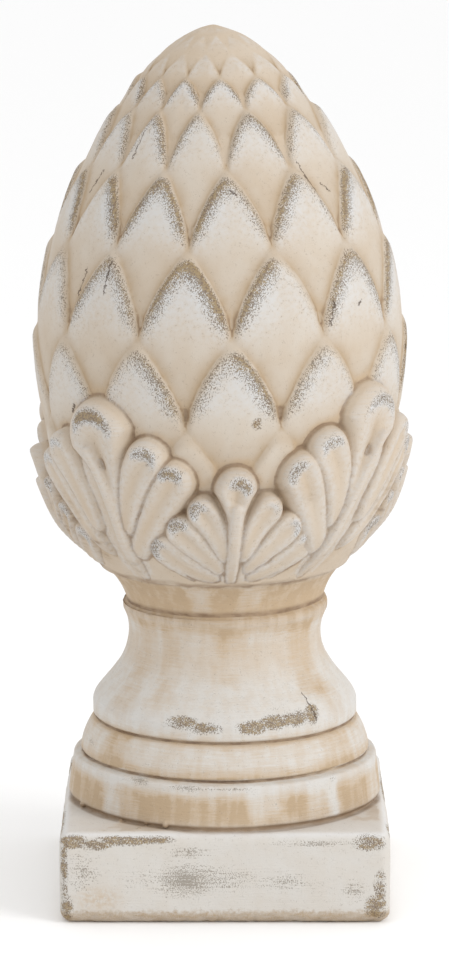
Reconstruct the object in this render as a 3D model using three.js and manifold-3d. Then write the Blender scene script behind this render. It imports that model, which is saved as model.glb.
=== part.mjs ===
// A pinecone finial, cast in one piece: an egg-shaped cone of pointed scales stands in a cup of leaves,
// on a waisted foot with turned mouldings and a square plinth with softly rounded edges.
// Millimetres, +Z up. The origin is the middle of the plinth's underside, and the front is towards -Y.
import * as THREE from "three";
import { RoundedBoxGeometry } from "three/addons/geometries/RoundedBoxGeometry.js";
import { mergeVertices } from "three/addons/utils/BufferGeometryUtils.js";
import Module from "manifold-3d";

// Plinth
const PLINTH_WIDTH = 169;
const PLINTH_HEIGHT = 48;
const PLINTH_ROUNDING = 6;
const PLINTH_ROUND_STEPS = 2;

// Turned foot, from the plinth up: each moulding has its own height and radii
const DRUM_FOOT_RADIUS = 82;
const DRUM_TOP_RADIUS = 79.8;
const DRUM_HEIGHT = 23.2;
const DRUM_ROUNDING = 4;
const GROOVE_HEIGHT = 2.2;
const GROOVE_DEPTH = 2;
const OVOLO_FOOT_RADIUS = 75.8;
const OVOLO_TOP_RADIUS = 69.5;
const OVOLO_HEIGHT = 16;
const LIP_RADIUS = 69.2;
const LIP_HEIGHT = 7.5;
const WAIST_RADIUS = 50.4;
const WAIST_HEIGHT = 36.2;
const NECK_LIP_RADIUS = 53.7;
const NECK_LIP_RISE = 12.7;
const NECK_LIP_HEIGHT = 3.6;
const NECK_GROOVE_HEIGHT = 3;
const COLLAR_FOOT_RADIUS = 52.2;
const COLLAR_TOP_RADIUS = 61;
const COLLAR_HEIGHT = 15.4;
const MOULDING_BULGE = 2;
const CURVE_STEPS = 3;
const FACETS_AROUND = 28;

// Cone, a blunt egg that leans a little to one side above the neck
const CONE_HEIGHT = 280;
const CONE_RADIUS = 97.6;
const CONE_WIDEST_AT = 117;
const CONE_LOWER_REACH = 152;
const CONE_TOP_CURVE = 1.75;
const CONE_TOP_BLUNTNESS = 0.65;
const CONE_LEAN = 0.0195;

// Scales: tips of the rows as shares of the cone's height, from below the leaves to the top
const ROW_SHARES = [-0.18, -0.015, 0.146, 0.307, 0.471, 0.629, 0.764, 0.864, 0.918, 0.96, 0.988, 1];
const LOWEST_ROW = -3;
const TOP_ROW = 8;
const BOTTOM_LEVEL = -2.05;
const TOP_LEVEL = 6.5;
const SCALES_AROUND = 12;
const FIRST_TIP_ANGLE = -11;
const SCALE_RELIEF = 4.6;
const SCALE_SWELL = 0.85;
const SCALE_CROWN = 0.1;
const SCALE_BOW = 0.18;
const BOWED_UP_TO_ROW = 4;
const SCALE_CUTS = [0, 0.45, 0.9];
const ROW_DRIFT = 26;
const DRIFT_FROM = 20;
const DRIFT_SHARES = [0.4, 0.85];

// Leaves: their lobes lie on the cone, and stand proud of it by these heights
const LEAF_LEDGE = 1;
const LEAF_PAIRS = 4;
const LEAF_HEIGHT = 100;
const LEAF_FOOT_RISE = 28;
const LEAF_SINK = 5.5;
const CUP_LIFT = 4;
const CUP_HEIGHT = 36;
const CUP_SHARES = [0.2, 0.7];
const SMALL_LEAF_ANGLE = 4.5;
const LARGE_LEAF_ANGLE = -40;
const LARGE_LEAF_SWAYS = [
  { turn: 0, hand: 1, slant: 0, stretch: 1 },
  { turn: 2, hand: -1, slant: 14, stretch: 1.04 },
];

// Corners closer together than this are one corner.
const WELD_DISTANCE = 0.01;

const DEGREE = Math.PI / 180;
const DRUM_Z = PLINTH_HEIGHT;
const OVOLO_Z = DRUM_Z + DRUM_HEIGHT + GROOVE_HEIGHT;
const LIP_Z = OVOLO_Z + OVOLO_HEIGHT + GROOVE_HEIGHT;
const WAIST_Z = LIP_Z + LIP_HEIGHT + WAIST_HEIGHT;
const NECK_LIP_Z = WAIST_Z + NECK_LIP_RISE;
const NECK_Z = NECK_LIP_Z + NECK_LIP_HEIGHT;
const COLLAR_Z = NECK_Z + NECK_GROOVE_HEIGHT;
const CONE_Z = COLLAR_Z + COLLAR_HEIGHT;
const CONE_TOP_Z = CONE_Z + CONE_HEIGHT;
const CONE_WIDEST_Z = CONE_Z + CONE_WIDEST_AT;
const LEAF_Z = CONE_Z + LEAF_LEDGE;
const CUP_Z = LEAF_Z + CUP_HEIGHT;

const wasm = await Module();
wasm.setup();

// How far a value has gone from one bound to the other, held between 0 and 1.
function progress(value, from, to) {
  return THREE.MathUtils.clamp((value - from) / (to - from), 0, 1);
}

// The cone's own radius at a height: an ellipse below its widest ring and a blunter curve above it.
function coneRadius(z) {
  if (z < CONE_WIDEST_Z) {
    const below = (CONE_WIDEST_Z - z) / CONE_LOWER_REACH;
    return CONE_RADIUS * Math.sqrt(Math.max(0, 1 - below * below));
  }
  const above = progress(z, CONE_WIDEST_Z, CONE_TOP_Z);
  return CONE_RADIUS * (1 - above ** CONE_TOP_CURVE) ** CONE_TOP_BLUNTNESS;
}

// Everything above the neck is turned about the neck's middle, towards -X.
function leaned(point) {
  if (point.z <= NECK_Z) return point;
  const above = point.z - NECK_Z;
  const x = point.x * Math.cos(CONE_LEAN) - above * Math.sin(CONE_LEAN);
  const z = NECK_Z + above * Math.cos(CONE_LEAN) + point.x * Math.sin(CONE_LEAN);
  return new THREE.Vector3(x, point.y, z);
}

// A point at an angle from the front, positive towards +X, and at a radius and height.
function aroundAxis(angle, radius, z) {
  return leaned(new THREE.Vector3(radius * Math.sin(angle), -radius * Math.cos(angle), z));
}

// One closed solid from a geometry, its shared vertices merged and its collapsed triangles left out.
function solidOf(geometry) {
  const bare = geometry.clone();
  bare.deleteAttribute("normal");
  bare.deleteAttribute("uv");
  const merged = mergeVertices(bare, WELD_DISTANCE);
  const corners = merged.index.array;
  const kept = [];
  for (let i = 0; i < corners.length; i += 3) {
    const [a, b, c] = [corners[i], corners[i + 1], corners[i + 2]];
    if (a !== b && b !== c && c !== a) kept.push(a, b, c);
  }
  return new wasm.Manifold(
    new wasm.Mesh({
      numProp: 3,
      vertProperties: merged.attributes.position.array,
      triVerts: new Uint32Array(kept),
    }),
  );
}

function geometryOf(points, corners) {
  const geometry = new THREE.BufferGeometry().setFromPoints(points);
  geometry.setIndex(corners);
  return geometry;
}

function makePlinth() {
  const box = new RoundedBoxGeometry(
    PLINTH_WIDTH,
    PLINTH_WIDTH,
    PLINTH_HEIGHT,
    PLINTH_ROUND_STEPS,
    PLINTH_ROUNDING,
  );
  box.translate(0, 0, PLINTH_HEIGHT / 2);
  return solidOf(box);
}

// Foot, neck, collar and the plain cup behind the leaves, turned from one outline of radius and height.
// It starts inside the plinth and ends inside the cone.
function makeFoot() {
  const waistFrom = LIP_Z + LIP_HEIGHT;
  const drumTop = DRUM_Z + DRUM_HEIGHT;
  const outline = new THREE.Path();
  outline.moveTo(0, DRUM_Z / 2);
  outline.lineTo(DRUM_FOOT_RADIUS, DRUM_Z / 2);
  outline.lineTo(DRUM_FOOT_RADIUS, DRUM_Z);
  outline.lineTo(DRUM_TOP_RADIUS, drumTop - DRUM_ROUNDING);
  outline.quadraticCurveTo(DRUM_TOP_RADIUS, drumTop, DRUM_TOP_RADIUS - DRUM_ROUNDING / 2, drumTop);
  addGroove(outline, OVOLO_FOOT_RADIUS, OVOLO_Z);
  outline.quadraticCurveTo(
    OVOLO_FOOT_RADIUS - MOULDING_BULGE / 2,
    OVOLO_Z + OVOLO_HEIGHT / 2,
    OVOLO_TOP_RADIUS,
    OVOLO_Z + OVOLO_HEIGHT,
  );
  addGroove(outline, LIP_RADIUS, LIP_Z);
  outline.lineTo(LIP_RADIUS, waistFrom);
  outline.bezierCurveTo(
    LIP_RADIUS - MOULDING_BULGE,
    waistFrom + WAIST_HEIGHT / 4,
    WAIST_RADIUS,
    waistFrom + WAIST_HEIGHT / 2,
    WAIST_RADIUS,
    WAIST_Z,
  );
  outline.quadraticCurveTo(WAIST_RADIUS, WAIST_Z + NECK_LIP_RISE / 2, NECK_LIP_RADIUS, NECK_LIP_Z);
  outline.lineTo(NECK_LIP_RADIUS, NECK_Z);
  outline.lineTo(COLLAR_FOOT_RADIUS, NECK_Z + NECK_GROOVE_HEIGHT / 3);
  outline.lineTo(COLLAR_FOOT_RADIUS, COLLAR_Z);
  outline.quadraticCurveTo(
    COLLAR_FOOT_RADIUS + MOULDING_BULGE,
    COLLAR_Z + COLLAR_HEIGHT / 2,
    COLLAR_TOP_RADIUS,
    CONE_Z,
  );
  outline.lineTo(coneRadius(LEAF_Z) + LEAF_LEDGE, LEAF_Z);
  for (const share of CUP_SHARES) {
    const z = LEAF_Z + CUP_HEIGHT * share;
    outline.lineTo(coneRadius(z) + CUP_LIFT * leafRise(z), z);
  }
  outline.lineTo(coneRadius(CUP_Z) - LEAF_SINK, CUP_Z);
  outline.lineTo(0, CUP_Z);

  const turned = new THREE.LatheGeometry(outline.getPoints(CURVE_STEPS), FACETS_AROUND);
  turned.rotateX(Math.PI / 2);
  const position = turned.attributes.position;
  const point = new THREE.Vector3();
  for (let i = 0; i < position.count; i += 1) {
    point.fromBufferAttribute(position, i);
    position.setXYZ(i, ...leaned(point).toArray());
  }
  return solidOf(turned);
}

// A narrow V-shaped groove that ends at the radius and height where the next moulding starts.
function addGroove(outline, radius, z) {
  outline.lineTo(radius - GROOVE_DEPTH, z - GROOVE_HEIGHT / 2);
  outline.lineTo(radius, z);
}

// Height of a level on the cone, where whole levels are the rows' tips: a smooth curve through them.
function rowHeight(level) {
  const place = THREE.MathUtils.clamp(level, LOWEST_ROW + 1, TOP_ROW) - LOWEST_ROW;
  const row = Math.min(Math.floor(place), ROW_SHARES.length - 2);
  const at = (index) => ROW_SHARES[Math.min(index, ROW_SHARES.length - 1)];
  const t = place - row;
  const [before, from, to, after] = [at(row - 1), at(row), at(row + 1), at(row + 2)];
  const startSlope = (to - before) / 2;
  const endSlope = (after - from) / 2;
  const share =
    from * (1 + 2 * t) * (1 - t) ** 2 +
    startSlope * t * (1 - t) ** 2 +
    to * t * t * (3 - 2 * t) +
    endSlope * t * t * (t - 1);
  return CONE_Z + CONE_HEIGHT * share;
}

// How far the upper rows have drifted round at a place on the cone.
function drift(angle, z) {
  const share = (z - CONE_Z) / CONE_HEIGHT;
  const grown = THREE.MathUtils.smoothstep(share, ...DRIFT_SHARES);
  return ROW_DRIFT * DEGREE * grown * 0.5 * (1 - Math.cos(angle - DRIFT_FROM * DEGREE));
}

// Bow of a scale's edge out to its side, largest half way along the edge.
function bow(along) {
  return 4 * along * (1 - along);
}

// Depth below the tip on one scale, across and up its two axes, which both run towards its tip. The scale
// rises from its lowest corner, and its middle is crowned.
function scaleDepth(across, along) {
  return 1 - ((across + along) / 2) ** SCALE_SWELL + SCALE_CROWN * (across - along) ** 2;
}

// The cone: a lattice of diamonds whose upper edges are the scales' edges. Points below the bottom level
// shrink to one point inside the cup, and points above the top level to the tip.
function makeCone() {
  const cuts = SCALE_CUTS.length;
  const around = 2 * SCALES_AROUND * cuts;
  const points = [];
  const corners = [];
  const known = new Map();

  function vertex(i, j, a, b) {
    const up = (i + j) * cuts + a + b;
    const round = (((i - j) * cuts + a - b) % around + around) % around;
    const p = i + Math.floor(a / cuts);
    const q = j + Math.floor(b / cuts);
    const across = SCALE_CUTS[a % cuts];
    const along = SCALE_CUTS[b % cuts];
    const level = p + q + across + along;
    let key = up + ":" + round;
    if (level <= BOTTOM_LEVEL) key = "bottom";
    if (level >= TOP_LEVEL) key = "top";
    if (known.has(key)) return known.get(key);
    known.set(key, points.length);
    if (key === "bottom") points.push(aroundAxis(0, 0, LEAF_Z));
    else if (key === "top") points.push(aroundAxis(0, 0, CONE_TOP_Z));
    else points.push(lattice(p - q + across - along, level, across, along));
    return known.get(key);
  }

  function lattice(turn, level, across, along) {
    const bowed = SCALE_BOW * progress(level, TOP_ROW, BOWED_UP_TO_ROW);
    const bowedTurn = turn + bowed * (bow(along) - bow(across));
    const z = rowHeight(level);
    const straight = (bowedTurn * Math.PI) / SCALES_AROUND + FIRST_TIP_ANGLE * DEGREE;
    const radius = coneRadius(z);
    const relief = SCALE_RELIEF * progress(radius, 0, CONE_RADIUS / 2);
    const angle = straight + drift(straight, z);
    return aroundAxis(angle, radius - relief * scaleDepth(across, along), z);
  }

  for (let row = -1; row <= TOP_LEVEL + 2; row += 1) {
    for (let turn = row; turn < row + 2 * SCALES_AROUND; turn += 2) {
      const i = (row + turn) / 2 - 1;
      const j = (row - turn) / 2 - 1;
      for (let a = 0; a < cuts; a += 1) {
        for (let b = 0; b < cuts; b += 1) {
          const [low, right] = [vertex(i, j, a, b), vertex(i, j, a + 1, b)];
          const [left, high] = [vertex(i, j, a, b + 1), vertex(i, j, a + 1, b + 1)];
          corners.push(low, right, high, low, high, left);
        }
      }
    }
  }
  return solidOf(geometryOf(points, corners));
}

// How far the leaves have risen from the collar, from 0 at their foot to 1.
function leafRise(z) {
  return Math.sin((Math.PI / 2) * progress(z, LEAF_Z, LEAF_Z + LEAF_FOOT_RISE));
}

// A lobe of a leaf: a rounded ridge along a bent line, with a round end and a shallow channel down its
// middle. Places on the line are degrees from the leaf's middle and shares of the leaves' height.
function makeLobe(leaf, lobe, side) {
  const perDegree = side * leaf.hand * CONE_RADIUS * DEGREE;
  const tall = LEAF_HEIGHT * leaf.stretch;
  const place = ([turn, share]) => new THREE.Vector2(turn * perDegree, share * tall);
  const line = new THREE.QuadraticBezierCurve(...lobe.line.map(place));
  const points = [];
  const corners = [];

  function surface(spot, height) {
    const sway = leaf.slant * (1 - spot.y / tall) ** 2;
    const turn = spot.x / CONE_RADIUS + (leaf.angle - sway) * DEGREE;
    const z = LEAF_Z + spot.y;
    return aroundAxis(turn, coneRadius(z) + height, z);
  }

  function addSection(t, swing) {
    const centre = line.getPoint(t);
    const ahead = line.getTangent(t);
    const width = THREE.MathUtils.lerp(lobe.footWidth, lobe.width, t ** lobe.flare);
    const z = LEAF_Z + centre.y;
    for (const across of lobe.cuts) {
      const angle = Math.sign(across) * (Math.PI / 2 - swing);
      const reach = Math.abs(across) * width;
      const spot = centre.clone().addScaledVector(ahead, reach * Math.cos(angle));
      spot.add(new THREE.Vector2(ahead.y, -ahead.x).multiplyScalar(reach * Math.sin(angle)));
      const ridge = Math.sqrt(1 - Math.abs(across) ** 3) - lobe.channel * t * (1 - Math.abs(across)) ** 2;
      points.push(surface(spot, (lobe.lift * leafRise(z) + LEAF_SINK) * ridge - LEAF_SINK));
    }
    points.push(surface(centre, -2 * LEAF_SINK));
  }

  for (let i = 0; i <= lobe.steps; i += 1) addSection(i / lobe.steps, 0);
  for (let i = 1; i <= lobe.endSteps; i += 1) addSection(1, (i * Math.PI) / 2 / lobe.endSteps);

  const ring = lobe.cuts.length + 1;
  const rows = points.length / ring;
  for (let row = 0; row + 1 < rows; row += 1) {
    for (let k = 0; k < ring; k += 1) {
      const next = (k + 1) % ring;
      const [a, b] = [row * ring + k, row * ring + next];
      corners.push(a, b, b + ring, a, b + ring, a + ring);
    }
  }
  for (let k = 1; k + 1 < ring; k += 1) corners.push(0, k + 1, k);
  return solidOf(geometryOf(points, corners));
}

// The kinds of lobe: widths are in millimetres, and cuts are the places across it as shares of its width.
const finger = {
  footWidth: 7.5,
  flare: 0.5,
  channel: 0.2,
  steps: 2,
  endSteps: 2,
  cuts: [-1, -0.7, 0, 0.7, 1],
};
const spoon = {
  flare: 2.4,
  channel: 0.3,
  steps: 3,
  endSteps: 3,
  cuts: [-1, -0.8, -0.4, 0, 0.4, 0.8, 1],
};
const stem = { flare: 1, channel: 0, steps: 3, endSteps: 1, cuts: [-1, -0.6, 0.6, 1] };
const blade = { flare: 0.7, channel: 0, steps: 2, endSteps: 2, cuts: [-1, -0.8, 0.8, 1] };
const smallSpoon = { ...spoon, endSteps: 2, cuts: finger.cuts };

// Lobes on the middle line of a leaf, and the lobes that stand on both its sides.
const smallLeaf = {
  middle: [
    { ...blade, line: [[0, -0.02], [0, 0.1], [0, 0.25]], footWidth: 20, width: 26, lift: 6.5 },
    { ...smallSpoon, line: [[0, 0.2], [0, 0.4], [0, 0.545]], footWidth: 4.5, width: 13, lift: 12 },
    { ...stem, line: [[-1, -0.02], [-0.5, 0.25], [0.3, 0.47]], footWidth: 5.6, width: 3.4, lift: 13 },
  ],
  sides: [
    { ...finger, line: [[3.4, 0.2], [6, 0.34], [10.5, 0.43]], width: 9.6, lift: 10 },
    { ...finger, line: [[6, 0.12], [11, 0.2], [18.3, 0.32]], width: 10.6, lift: 9.4 },
    { ...finger, line: [[8, 0.05], [17, 0.08], [25.6, 0.21]], width: 11.5, lift: 9 },
  ],
};
const largeLeaf = {
  middle: [
    { ...blade, line: [[1, 0], [4, 0.3], [1, 0.56]], footWidth: 18, width: 27, lift: 6.5 },
    { ...spoon, line: [[4, 0.3], [5, 0.55], [0, 0.79]], footWidth: 7, width: 22, lift: 10 },
    { ...stem, line: [[2, -0.02], [8, 0.4], [-2, 0.76]], footWidth: 5.5, width: 3, lift: 12 },
  ],
  sides: [
    { ...finger, line: [[7, 0.34], [10, 0.55], [16.5, 0.69]], width: 12, lift: 9.6 },
    { ...finger, line: [[8, 0.2], [17, 0.4], [24.5, 0.59]], width: 11.6, lift: 9.2 },
  ],
};

function makeLeaves() {
  const lobes = [];
  for (let i = 0; i < LEAF_PAIRS; i += 1) {
    const turn = (360 / LEAF_PAIRS) * i;
    const sway = LARGE_LEAF_SWAYS[i % LARGE_LEAF_SWAYS.length];
    const placed = [
      [smallLeaf, { angle: SMALL_LEAF_ANGLE + turn, hand: 1, slant: 1, stretch: 1 }],
      [largeLeaf, { ...sway, angle: LARGE_LEAF_ANGLE + turn + sway.turn }],
    ];
    for (const [form, leaf] of placed) {
      for (const lobe of form.middle) lobes.push(makeLobe(leaf, lobe, 1));
      for (const lobe of form.sides) lobes.push(makeLobe(leaf, lobe, 1), makeLobe(leaf, lobe, -1));
    }
  }
  return lobes;
}

function makeFinial() {
  let body = makePlinth().add(makeFoot()).add(makeCone());
  for (const lobe of makeLeaves()) body = body.add(lobe);
  const { numProp, vertProperties, triVerts } = body.getMesh();
  const geometry = new THREE.BufferGeometry();
  geometry.setAttribute("position", new THREE.BufferAttribute(vertProperties, numProp));
  geometry.setIndex(new THREE.BufferAttribute(triVerts, 1));
  geometry.computeVertexNormals();
  const material = new THREE.MeshStandardMaterial({ color: 0xe3d6c4, roughness: 0.86, metalness: 0 });
  const mesh = new THREE.Mesh(geometry, material);
  mesh.name = "pinecone_finial";
  return mesh;
}

const finial = new THREE.Group();
finial.add(makeFinial());

export default finial;
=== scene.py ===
"""A pinecone finial in painted cast stone: its casting, its worn paint and a plain stage."""

import math

import bpy
import numpy as np
from bpy.props import FloatProperty, FloatVectorProperty, IntProperty, PointerProperty
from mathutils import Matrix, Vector


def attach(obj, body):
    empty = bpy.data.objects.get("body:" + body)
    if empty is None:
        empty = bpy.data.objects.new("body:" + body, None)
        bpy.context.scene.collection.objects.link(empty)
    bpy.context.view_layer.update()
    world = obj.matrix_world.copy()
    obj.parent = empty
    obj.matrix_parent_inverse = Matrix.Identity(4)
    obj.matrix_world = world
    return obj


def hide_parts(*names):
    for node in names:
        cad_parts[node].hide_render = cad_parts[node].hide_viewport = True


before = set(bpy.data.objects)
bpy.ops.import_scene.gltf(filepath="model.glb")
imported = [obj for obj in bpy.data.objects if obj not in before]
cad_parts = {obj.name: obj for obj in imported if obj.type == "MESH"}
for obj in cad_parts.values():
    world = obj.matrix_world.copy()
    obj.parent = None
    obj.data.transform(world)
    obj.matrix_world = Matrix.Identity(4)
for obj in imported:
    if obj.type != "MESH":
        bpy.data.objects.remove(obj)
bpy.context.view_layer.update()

bl_info = {
    "name": "Pinecone finial",
    "version": (1, 0, 0),
    "blender": (4, 5, 0),
    "location": "3D View > Sidebar > Finial",
    "description": "Builds a painted pinecone finial and a plain studio round it",
    "category": "Add Mesh",
}

MM = 0.001
DEGREE = math.pi / 180

# Sizes of the casting in millimetres, from the plinth up
PLINTH_WIDTH = 169.0
PLINTH_HEIGHT = 48.0
PLINTH_ROUNDING = 6.0
DRUM_FOOT_RADIUS = 82.0
DRUM_SEAT_RADIUS = DRUM_FOOT_RADIUS - 1.6
DRUM_TOP_RADIUS = 79.8
DRUM_TOP_Z = 71.2
OVOLO_Z = 73.4
LIP_Z = 91.6
WAIST_FROM_Z = 99.1
WAIST_Z = 135.3
NECK_LIP_Z = 148.0
NECK_Z = 151.6
COLLAR_Z = 154.6
CONE_Z = 170.0
LEAF_Z = 171.0
CONE_HEIGHT = 280.0
CONE_TOP_Z = CONE_Z + CONE_HEIGHT
CONE_RADIUS = 97.6
CONE_WIDEST_Z = CONE_Z + 117.0
CONE_LOWER_REACH = 152.0
CONE_TOP_CURVE = 1.75
CONE_TOP_BLUNTNESS = 0.65
CONE_LEAN = 0.0195

# Scales: lengths in millimetres, angles in degrees, the rest in shares of the relief
ROW_SHARES = [-0.18, -0.015, 0.146, 0.307, 0.471, 0.629, 0.764, 0.864, 0.918, 0.96, 0.988, 1.0]
LOWEST_ROW = -3
TOP_ROW = 8
SCALES_AROUND = 12
FIRST_TIP_ANGLE = -11.0
SCALE_WIDTH = 44.0
TIP_ROUNDING = 2.8
SADDLE_RISE = 0.47
SCALE_SWELL = 0.85
SCALE_CROWN = 0.1
SCALE_BOW = 0.18
BOWED_UP_TO_ROW = 4
ROW_DRIFT = 26.0
DRIFT_FROM = 20.0
DRIFT_SHARES = (0.4, 0.85)
EDGE_DROP = 0.30
DIMPLE_RISE = 8.5
DIMPLE_HEIGHT = 5.5
DIMPLE_WIDTH = 0.11
DIMPLE_DEPTH = 2.0
UPPER_ROWS_GAIN = 0.45
CAP_LOSS = 0.85
LEAST_WEAR = 0.15
WEAR_SPREAD = 0.95
LEFT_WEAR_SEED = 31
RIGHT_WEAR_SEED = 32

# Leaves: lengths in millimetres, angles in degrees
LEAF_HEIGHT = 100.0
LEAF_FOOT_RISE = 28.0
LEAF_SINK = 5.5
LEAF_LEDGE = 1.0
CUP_LIFT = 4.0
CUP_SHOULDER_Z = 196.2
CUP_TOP_Z = 207.0
SMALL_LEAF_ANGLE = 4.5
LARGE_LEAF_ANGLE = -40.0
LEAF_PAIRS = 4
LIFT_SHARE = 0.86
CUP_FLUTES = 44.0
CUP_FLUTE_DEPTH = 0.45
GROOVE_SPACING = 2.7
GROOVE_DEPTH = 0.5
RIB_SPACING = 2.3
RIB_DEPTH = 0.22
FIRST_LOBE_SEED = 900

# Millimetres between the rings
RING_PITCH = 0.62

# Softness of the relief in rings at full detail, and the sunk line where lobes and scales meet
SCALE_BLUR = 1.25
SURFACE_BLUR = 0.9
FILLET_BLUR = 2.2
SEAM_BLUR = 1.1
SEAM_STRENGTH = 2.4
SEAM_DEPTH = 0.9

# Reach in millimetres of what counts as a hollow and as a crease
HOLLOW_REACH = 4.5
CREASE_REACH = 1.3

# Waves of the hand-finished mould: seed, share of the wobble and size; and how far the surface is set back
WAVES = ((5, 1.0, 26.0), (6, 0.35, 7.0), (7, 0.12, 2.2))
SET_BACK = 0.35
PIT_SEED = 77
PIT_COUNT = 34

# Heights in metres that the lights and the view are turned to, and the view's shift across
LIGHT_AIM_HEIGHT = 0.24
VIEW_AIM_HEIGHT = 0.214
VIEW_SHIFT = -0.5 / 960


def progress(value, start, end):
    """How far a value has gone from one bound to the other, held between 0 and 1."""
    return np.clip((value - start) / (end - start), 0.0, 1.0)


def smooth(value, start, end):
    t = progress(value, start, end)
    return t * t * (3.0 - 2.0 * t)


def linear_colour(red, green, blue):
    """A colour named by its 0 to 255 screen values, as linear light."""
    def channel(value):
        share = value / 255.0
        if share <= 0.04045:
            return share / 12.92
        return ((share + 0.055) / 1.055) ** 2.4
    return (channel(red), channel(green), channel(blue))


class FinialForm(bpy.types.PropertyGroup):
    """Relief of the casting."""

    scale_relief: FloatProperty(
        name="Scale relief", description="Height of a scale's tip over its lowest corner",
        default=0.0052, min=0.0, max=0.01, unit="LENGTH")
    edge_roll: FloatProperty(
        name="Edge roll", description="Width of the rounded edge of a scale",
        default=0.0030, min=0.0005, max=0.01, unit="LENGTH")
    lobe_channel: FloatProperty(
        name="Lobe channel", description="Depth of the channel down a lobe as a share of its height",
        default=0.20, min=0.0, max=0.6, subtype="FACTOR")
    wobble: FloatProperty(
        name="Wobble", description="Unevenness of the hand-finished mould",
        default=0.00035, min=0.0, max=0.002, unit="LENGTH")
    columns: IntProperty(
        name="Columns", description="Points round the casting before the mesh is thinned",
        default=1024, min=256, max=1600)
    triangles: IntProperty(
        name="Triangles", description="Triangles of the finished mesh",
        default=190000, min=20000, max=198000)


def paint_colour(name, description, red, green, blue):
    return FloatVectorProperty(
        name=name, description=description, subtype="COLOR", size=3,
        default=linear_colour(red, green, blue))


def blended(*parts):
    """A colour summed from shares of others, each given as a share and a colour."""
    return tuple(sum(share * colour[channel] for share, colour in parts) for channel in range(3))


class FinialPaint(bpy.types.PropertyGroup):
    """Colours of the paint and of what shows through it."""

    cream: paint_colour("Cream", "Main coat", 195, 186, 174)
    white: paint_colour("White", "Dry-brushed top coat", 197, 198, 199)
    coat: paint_colour("Off-white", "Coat of the foot and the plinth", 201, 197, 191)
    # Tan and umber also carry painted shade: tan in the hollows and under the scales' steps, umber in the
    # creases and grooves
    tan: paint_colour("Tan", "Wash in the hollows", 184, 161, 132)
    umber: paint_colour("Umber", "Dark line in creases and grooves", 104, 78, 56)
    bare: paint_colour("Bare body", "Olive-brown body where the paint is rubbed off", 142, 121, 84)
    grey: paint_colour("Grey rub", "Grey body at the fringe of the rubbed places", 124, 115, 102)
    wear: FloatProperty(
        name="Wear", description="How much paint is rubbed off",
        default=1.0, min=0.0, max=1.5, subtype="FACTOR")
    # Tan wash and the painted shade in the hollows, creases, crevices and step corners are all scaled by
    # this
    wash_and_shade: FloatProperty(
        name="Wash", description="Strength of the tan wash",
        default=1.0, min=0.0, max=1.5, subtype="FACTOR")


class FinialStudio(bpy.types.PropertyGroup):
    """Stage, lights and camera."""

    floor: FloatVectorProperty(
        name="Floor", description="Colour of the floor", subtype="COLOR", size=3,
        default=(0.97, 0.97, 0.97))
    surround: FloatProperty(
        name="Surround", description="Brightness of the white surroundings",
        default=1.0, min=0.0, max=5.0)
    key: FloatProperty(
        name="Key light", description="Power of the large soft light",
        default=16.0, min=0.0, max=500.0, subtype="POWER", unit="POWER")
    distance: FloatProperty(
        name="Camera distance", description="From the middle of the finial",
        default=2.2, min=0.5, max=20.0, unit="LENGTH")
    elevation: FloatProperty(
        name="Camera elevation", description="Angle above the horizon",
        default=11.0 * DEGREE, min=0.0, max=1.5, subtype="ANGLE")
    lens: FloatProperty(
        name="Lens", description="Focal length in millimetres", default=159.0, min=10.0, max=500.0)


class Grain:
    """A smooth random field in space that repeats every few dozen cells."""

    CELLS = 48

    def __init__(self, seed):
        self.values = np.random.default_rng(seed).uniform(-1.0, 1.0, (self.CELLS,) * 3)

    def at(self, points, cell):
        """Values between -1 and 1 at points, for cells of one size or of three."""
        place = points / np.asarray(cell, float)
        low = np.floor(place).astype(int)
        share = place - low
        share = share * share * (3.0 - 2.0 * share)
        total = np.zeros(points.shape[:-1])
        for corner in np.ndindex(2, 2, 2):
            index = (low + corner) % self.CELLS
            weight = np.ones(points.shape[:-1])
            for axis, upper in enumerate(corner):
                part = share[..., axis]
                weight = weight * (part if upper else 1.0 - part)
            total += weight * self.values[index[..., 0], index[..., 1], index[..., 2]]
        return total


def blurred(field, rings, columns):
    """A field smoothed along its rings and round its columns, where it wraps."""
    result = field
    for axis, spread in ((0, rings), (1, columns)):
        if spread <= 0:
            continue
        reach = max(1, int(math.ceil(3 * spread)))
        weights = np.exp(-0.5 * (np.arange(-reach, reach + 1) / spread) ** 2)
        weights /= weights.sum()
        pad = [(0, 0), (0, 0)]
        pad[axis] = (reach, reach)
        padded = np.pad(result, pad, mode="wrap" if axis == 1 else "edge")
        total = np.zeros_like(result)
        length = result.shape[axis]
        for step, weight in enumerate(weights):
            part = slice(step, step + length)
            total += weight * (padded[part, :] if axis == 0 else padded[:, part])
        result = total
    return result


def cone_radius(z):
    """Radius of the plain egg under the scales."""
    below = np.clip((CONE_WIDEST_Z - z) / CONE_LOWER_REACH, 0.0, 1.0)
    above = progress(z, CONE_WIDEST_Z, CONE_TOP_Z)
    lower = np.sqrt(1.0 - below**2)
    upper = (1.0 - above**CONE_TOP_CURVE) ** CONE_TOP_BLUNTNESS
    return CONE_RADIUS * np.where(z < CONE_WIDEST_Z, lower, upper)


def leaned(points, turn=CONE_LEAN):
    """Turns what is above the neck about the neck's middle, towards -X."""
    above = points[..., 2] - NECK_Z
    x = points[..., 0] * math.cos(turn) - above * math.sin(turn)
    z = NECK_Z + above * math.cos(turn) + points[..., 0] * math.sin(turn)
    upper = above > 0
    result = points.copy()
    result[..., 0] = np.where(upper, x, points[..., 0])
    result[..., 2] = np.where(upper, z, points[..., 2])
    return result


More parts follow.
